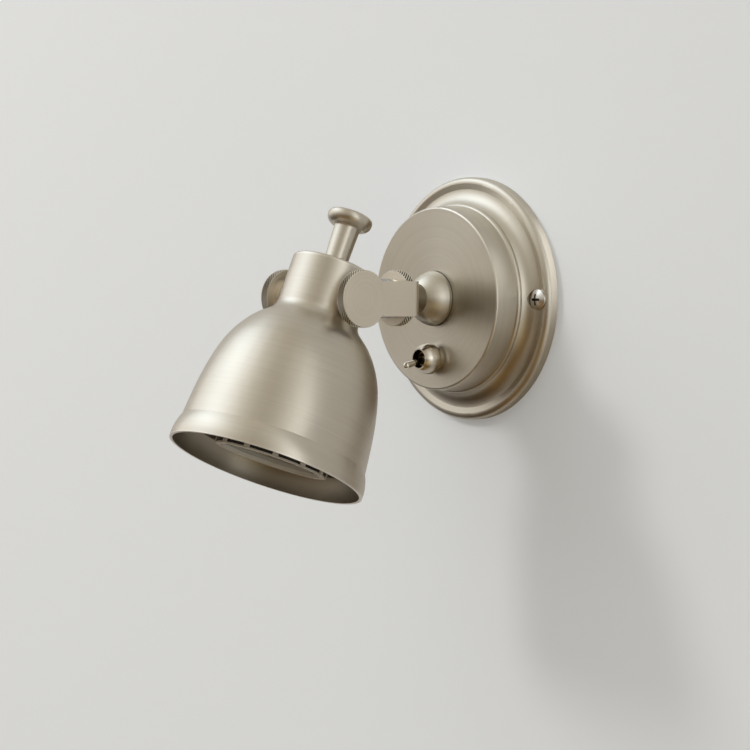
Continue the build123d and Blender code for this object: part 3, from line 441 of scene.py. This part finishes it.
# painted shade on the collar's inward faces, in the switch's mouth
wear(spun("switch_nickel", NICKEL, SWITCH, WALL_AXIS, rough=0.20, bump=0.04, inner_shade=SWITCH_MOUTH_SHADE), "switch_collar")
wear(strip_brushed("strip_nickel", LIT_NICKEL, rough=0.38), "yoke")
wear(threaded("thread_nickel", THREAD_NICKEL, CENTRE, WALL_AXIS, rough=0.30, pitch=STEM_PITCH),
     "threaded_stem")
# painted shade and a warm painted reflection on the bush inside the switch's mouth
wear(threaded("thread_dark", BUSH_IN_MOUTH_SHADE, SWITCH, WALL_AXIS, rough=0.26, pitch=SWITCH_PITCH), "switch_bush")
wear(cross_headed("plate_screws", BRIGHT_PLATE, rough=0.30), "canopy_screws")
wear(grained("bright_plate", BRIGHT_PLATE, rough=0.13, metallic=1.0, scale=500.0, bump=0.03),
     "terminal_screws", "switch_nut", "holder_screws")
wear(grained("lever_plate", LEVER_PLATE, rough=0.12, metallic=1.0, scale=500.0, bump=0.03), "toggle_lever")
wear(grained("zinc", ZINC, rough=0.34, metallic=1.0, scale=260.0, bump=0.10, spread=0.14),
     "wall_strap", "stem_lock_washer", "stem_lock_nut", "stop_washer", "stem_front_nut", "handle_nuts",
     "holder_bracket")
wear(grained("brass", BRASS, rough=0.30, metallic=1.0, scale=700.0, bump=0.05),
     "earth_screw", "terminal_sleeves", "holder_contacts", "lamp_pins", "switch_terminals")
wear(grained("block_plastic", BLOCK_WHITE, rough=0.42), "terminal_block")
wear(grained("steatite", STEATITE, rough=0.36, scale=1500.0, bump=0.12), "lamp_holder")
wear(grained("lamp_plastic", LAMP_GREY, rough=0.40), "lamp_body")
wear(grained("bezel_plastic", BEZEL_WHITE, rough=0.20, scale=400.0, bump=0.03), "lamp_ring")
wear(grained("dark_plastic", DARK_PLASTIC, rough=0.38),
     "lamp_collar", "switch_body", "stem_bush", "pivot_washers")
wear(grained("black_rubber", RUBBER, rough=0.62, scale=1400.0, bump=0.15), "lead_grommet")
wear(grained("board", BOARD, rough=0.45), "led_board", "driver_board")
wear(grained("phosphor", PHOSPHOR, rough=0.40), "led_chips")
wear(grained("lens", LENS_GREY, rough=0.12, scale=1500.0, bump=0.20, transmission_weight=0.3, ior=1.49),
     "lamp_lens")


# ---- knurled clamp knobs, in place of their plain solids ----
def groove(position):
    """0 in a groove, 1 midway between two."""
    return 1 - abs(2 * (position % 1) - 1)


def plain_rows(profile):
    return [([radius] * KNOB_STEPS, height) for radius, height in profile]


def knurl_rows(start, end):
    """Rows of (radius per step, height) across the rim, with two crossing sets of grooves."""
    pitch = 2 * pi * KNOB_R / KNURL_TEETH
    count = round((end - start) / pitch * KNURL_STEPS)
    rows = []
    for j in range(count + 1):
        v = j / KNURL_STEPS
        radii = []
        for i in range(KNOB_STEPS):
            u = i / KNURL_STEPS
            rise = min(groove(u + v), groove(u - v), KNURL_CUT)
            radii.append(KNOB_R - KNURL_DEPTH * (KNURL_CUT - rise))
        rows.append((radii, start + (end - start) * j / count))
    return rows


def knob_points(place, axis, rows):
    """Points of every row, round the axis."""
    first, second = across_axis(axis)
    points = []
    for radii, height in rows:
        for i, radius in enumerate(radii):
            angle = 2 * pi * i / KNOB_STEPS
            points.append(place + axis * height
                          + first * (radius * cos(angle)) + second * (radius * sin(angle)))
    return points


def knob_faces(row_count, knurled, bored):
    """Faces between the rows, split along the grooves in the knurled ones. A bored knob's last row
    joins its first, and another knob's ends are closed."""
    faces = []
    pairs = list(zip(range(row_count - 1), range(1, row_count)))
    if bored:
        pairs.append((row_count - 1, 0))
    for low, high in pairs:
        for i in range(KNOB_STEPS):
            k = (i + 1) % KNOB_STEPS
            a, b = low * KNOB_STEPS + i, low * KNOB_STEPS + k
            c, d = high * KNOB_STEPS + k, high * KNOB_STEPS + i
            if low not in knurled:
                faces.append((a, b, c, d))
            elif (i + low - knurled.start) % 2:
                faces += [(a, b, d), (b, c, d)]
            else:
                faces += [(a, b, c), (a, c, d)]
    if not bored:
        faces.append(tuple(reversed(range(KNOB_STEPS))))
        faces.append(tuple(range((row_count - 1) * KNOB_STEPS, row_count * KNOB_STEPS)))
    return faces


def knob(name, place, axis, body, back, face, start, bored):
    """Turned knob about an axis, its rim knurled between two turned profiles."""
    rim = knurl_rows(start + KNOB_EDGE, start + KNOB_THICK - KNOB_EDGE)
    rows = plain_rows(back) + rim + plain_rows(face)
    knurled = range(len(back), len(back) + len(rim) - 1)
    mesh = bpy.data.meshes.new(name)
    points = knob_points(place, axis, rows)
    mesh.from_pydata([tuple(p) for p in points], [], knob_faces(len(rows), knurled, bored))
    for polygon in mesh.polygons:
        polygon.use_smooth = True
    mesh.set_sharp_from_angle(angle=KNOB_SHARP)
    made = bpy.data.objects.new(name, mesh)
    bpy.context.scene.collection.objects.link(made)
    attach(made, body)
    return made


def knurl_band(start):
    """Heights between which a knob's rim gets painted crest highlights and painted groove shade."""
    return start + KNOB_EDGE / 2, start + KNOB_THICK - KNOB_EDGE / 2


def side_knob(side, sign, look_of_knob):
    start = SIDE_KNOB_START + SIDE_KNOB_GAP
    front = start + KNOB_THICK
    back = [(SHANK_R - KNOB_ROUND, SHANK_END), (SHANK_R, SHANK_END + KNOB_ROUND), (SHANK_R, start),
            (FLAT_R, start)]
    face = [(FLAT_R * share, front) for share in FACE_RINGS] + [(FACE_MIDDLE_R, front)]
    made = knob(f"side_knob_{side}_knurled", PIVOT, SIDE_AXIS * sign, f"side_knob_{side}", back, face,
                start, bored=False)
    dress(made, look_of_knob)
    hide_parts(f"side_knob_{side}")


def rear_knob(look_of_knob):
    start = REAR_KNOB_START
    front = start + KNOB_THICK
    end = front + HUB_LENGTH
    back = [(REAR_BORE_R, start), (FLAT_R, start)]
    face = [(FLAT_R, front), (HUB_R + KNOB_ROUND, front), (HUB_R, front + KNOB_ROUND),
            (HUB_R, end - KNOB_ROUND), (HUB_R - KNOB_ROUND, end), (REAR_BORE_R, end)]
    made = knob("rear_knob_knurled", CENTRE, WALL_AXIS, "rear_knob", back, face, start, bored=True)
    dress(made, look_of_knob)
    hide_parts("rear_knob")


# the knobs' knurled rims get painted highlights on the crests and painted shade in the grooves
side_knurl = spun("side_knurl", LIT_NICKEL, PIVOT, SIDE_AXIS, rough=0.36,
                  knurl=knurl_band(SIDE_KNOB_START))
rear_knurl = spun("rear_knurl", LIT_NICKEL, CENTRE, WALL_AXIS, rough=0.36,
                  knurl=knurl_band(REAR_KNOB_START))
side_knob("right", 1, side_knurl)
side_knob("left", -1, side_knurl)
rear_knob(rear_knurl)


# ---- wall behind the lamp: plain and pale, seen through from behind only ----
WALL_HALF = 4.0                  # metres
WALL_BACK = 0.3 * MM             # behind the plate's back


def wall():
    corners = [(x * WALL_HALF, z * WALL_HALF) for x, z in ((-1, -1), (1, -1), (1, 1), (-1, 1))]
    mesh = bpy.data.meshes.new("wall_backdrop")
    mesh.from_pydata([(x, WALL_BACK, z) for x, z in corners], [], [(0, 1, 2, 3)])
    made = bpy.data.objects.new("wall_backdrop", mesh)
    bpy.context.scene.collection.objects.link(made)
    paint, tree, shader, place = blank("wall_paint")
    rough = noise(tree, place, scale=55.0, detail=5.0)
    broad = noise(tree, place, scale=3.0, detail=1.0)
    ray = add(tree, "ShaderNodeLightPath").outputs["Is Camera Ray"]
    set_shader(tree, shader, base_color=tint(tree, broad, WALL_PAINT, spread=0.012), roughness=0.9,
               specular_ior_level=0.1, emission_color=(*WALL_LIFT, 1), emission_strength=ray,
               normal=bumped(tree, rough, 0.25, 0.6 * MM))
    behind = add(tree, "ShaderNodeNewGeometry").outputs["Backfacing"]
    clear = add(tree, "ShaderNodeBsdfTransparent").outputs[0]
    seen_behind = calc(tree, "MULTIPLY", ray, behind)
    mix = add(tree, "ShaderNodeMixShader", {0: seen_behind, 1: shader.outputs[0], 2: clear})
    tree.links.new(mix.outputs[0], tree.nodes["Material Output"].inputs["Surface"])
    dress(made, paint)
    return made


backdrop = wall()


# ---- light: soft lobes of sky all round, and a key from the upper left for the wall's shadow ----
def direction(bearing, height):
    """Towards a bearing from straight out of the wall, positive to the right, and a height, in degrees."""
    bearing, height = radians(bearing), radians(height)
    return Vector((sin(bearing) * cos(height), -cos(bearing) * cos(height), sin(height)))


SKY_ABOVE = (0.470, 0.424, 0.356)
SKY_BELOW = (0.03, 0.02, 0.01)
HORIZON = 0.12                   # the two meet softly this far either side of level
LOBE_NARROW = 14.0
# bearing, height and colour of each soft lobe of light
SKY_LOBES = (
    (-80, 42, (0.812, 0.971, 1.118)), (-45, 42, (1.130, 1.270, 1.450)), (-10, 42, (0.436, 0.460, 0.452)),
    (88, 42, (0.570, 0.620, 0.640)), (0, 85, (0.110, 0.102, 0.060)), (-80, 5, (0.683, 0.682, 0.694)),
    (-45, 5, (0.290, 0.269, 0.243)), (88, 5, (1.440, 1.520, 1.580)), (-10, -30, (0.230, 0.120, 0.040)),
    (25, -30, (0.110, 0.060, 0.020)), (60, -30, (0.310, 0.225, 0.080)), (88, -30, (0.420, 0.400, 0.360)),
    (0, -80, (0.240, 0.140, 0.040)))
LIGHT_AIM = Vector((0, -0.06, -0.02))
KEY_WAY = direction(-36.4, 31)
KEY_COLOUR = (1.0, 0.985, 0.95)
REAR_WAY = Vector((0.35, 1.0, 0.3)).normalized()
WHITE = (1, 1, 1)
BEHIND_PLATE = ["canopy", "canopy_screws", "wall_strap", "earth_screw", "terminal_block", "terminal_sleeves",
                "terminal_screws", "threaded_stem", "stem_lock_washer", "stem_lock_nut", "switch_body",
                "switch_terminals", "switch_bush", "switch_nut"]


def studio_sky():
    """World light from the lobes. The camera itself sees one plain colour."""
    sky = bpy.data.worlds.new("studio")
    sky.use_nodes = True
    bpy.context.scene.world = sky
    tree = sky.node_tree
    ray = add(tree, "ShaderNodeTexCoord").outputs["Generated"]
    total = blend(tree, ramp(tree, dot(tree, ray, (0, 0, 1)), -HORIZON, HORIZON), SKY_BELOW, SKY_ABOVE)
    for bearing, height, colour in SKY_LOBES:
        toward = calc(tree, "MAXIMUM", dot(tree, ray, direction(bearing, height)), 0.0)
        lobe = calc(tree, "POWER", toward, LOBE_NARROW)
        values = {0: joined(tree, lobe, lobe, lobe), 1: colour, 2: total}
        total = add(tree, "ShaderNodeVectorMath", values, operation="MULTIPLY_ADD").outputs[0]
    seen = add(tree, "ShaderNodeLightPath").outputs["Is Camera Ray"]
    tree.links.new(blend(tree, seen, total, BACKGROUND), tree.nodes["Background"].inputs["Color"])


def softbox(name, way, distance, size, power, colour):
    data = bpy.data.lights.new(name, "AREA")
    data.shape, data.size, data.energy, data.color = "DISK", size, power, colour
    made = bpy.data.objects.new(name, data)
    made.location = LIGHT_AIM + way * distance
    made.rotation_mode = "QUATERNION"
    made.rotation_quaternion = (-way).to_track_quat("-Z", "Y")
    bpy.context.scene.collection.objects.link(made)
    return made


def key_light():
    """Throws the lamp's shadow on the wall and leaves no highlight of its own on the metal."""
    key = softbox("key_light", KEY_WAY, distance=1.6, size=0.30, power=6.5, colour=KEY_COLOUR)
    key.visible_glossy = False


def rear_light():
    """Lights what is behind the plate, which the wall would keep dark."""
    rear = softbox("rear_light", REAR_WAY, distance=1.2, size=1.2, power=4.5, colour=WHITE)
    lit = bpy.data.collections.new("rear_light_receivers")
    for name in BEHIND_PLATE:
        lit.objects.link(nodes[name])
    rear.light_linking.receiver_collection = lit
    blockers = bpy.data.collections.new("rear_light_blockers")
    for thing in bpy.data.objects:
        if thing.type == "MESH" and thing is not backdrop:
            blockers.objects.link(thing)
    rear.light_linking.blocker_collection = blockers


studio_sky()
key_light()
rear_light()
bpy.context.scene.view_settings.view_transform = "Standard"
